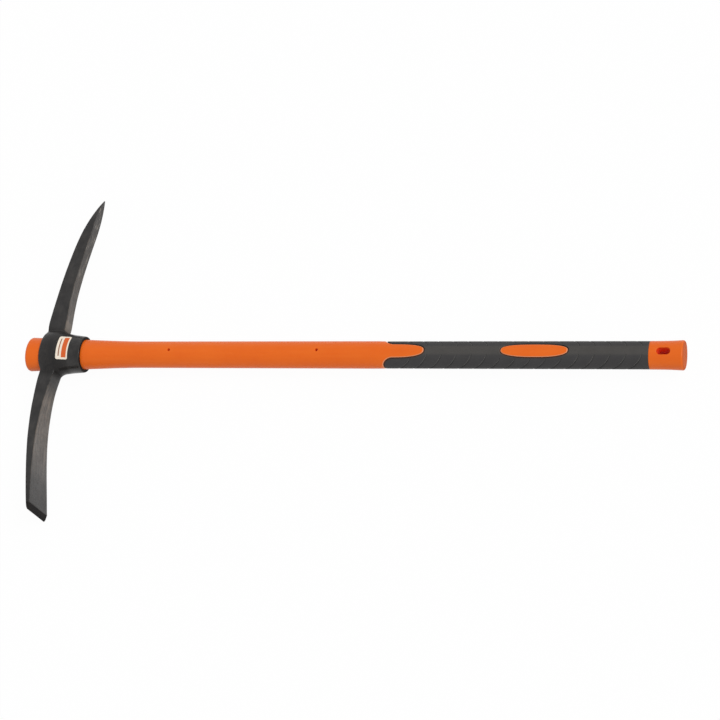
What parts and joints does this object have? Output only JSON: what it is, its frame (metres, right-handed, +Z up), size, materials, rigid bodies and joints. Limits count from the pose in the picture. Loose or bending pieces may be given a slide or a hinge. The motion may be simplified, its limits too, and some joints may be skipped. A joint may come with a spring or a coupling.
{
  "type": "pickaxe",
  "caption": "Pickaxe with a forged point-and-chisel head slipped over a fibreglass handle with an orange jacket, dark soft grip and hang slot.",
  "frame": {"origin": "on the floor, under the middle of the box round the tool as it lies flat", "axes": "+X along the handle from the head to the butt, +Y along the head towards the point, +Z up"},
  "size_m": [0.9, 0.4718, 0.0544],
  "materials": {
    "pick_head": "satin black lacquer over forged steel",
    "fibreglass_core": "pultruded glass fibre in clear resin",
    "handle_jacket": "satin orange moulding",
    "soft_grip": "fine-grained dark grey elastomer"
  },
  "bodies": {
    "handle": {"fibreglass_core": "fibreglass_core", "handle_jacket": "handle_jacket", "soft_grip": "soft_grip"},
    "head": {"pick_head": "pick_head"}
  },
  "joints": [
    {"name": "head_slide", "type": "slide", "parent": "handle", "child": "head", "axis": [1, 0, 0], "range_m": [0, 0.9]}
  ]
}
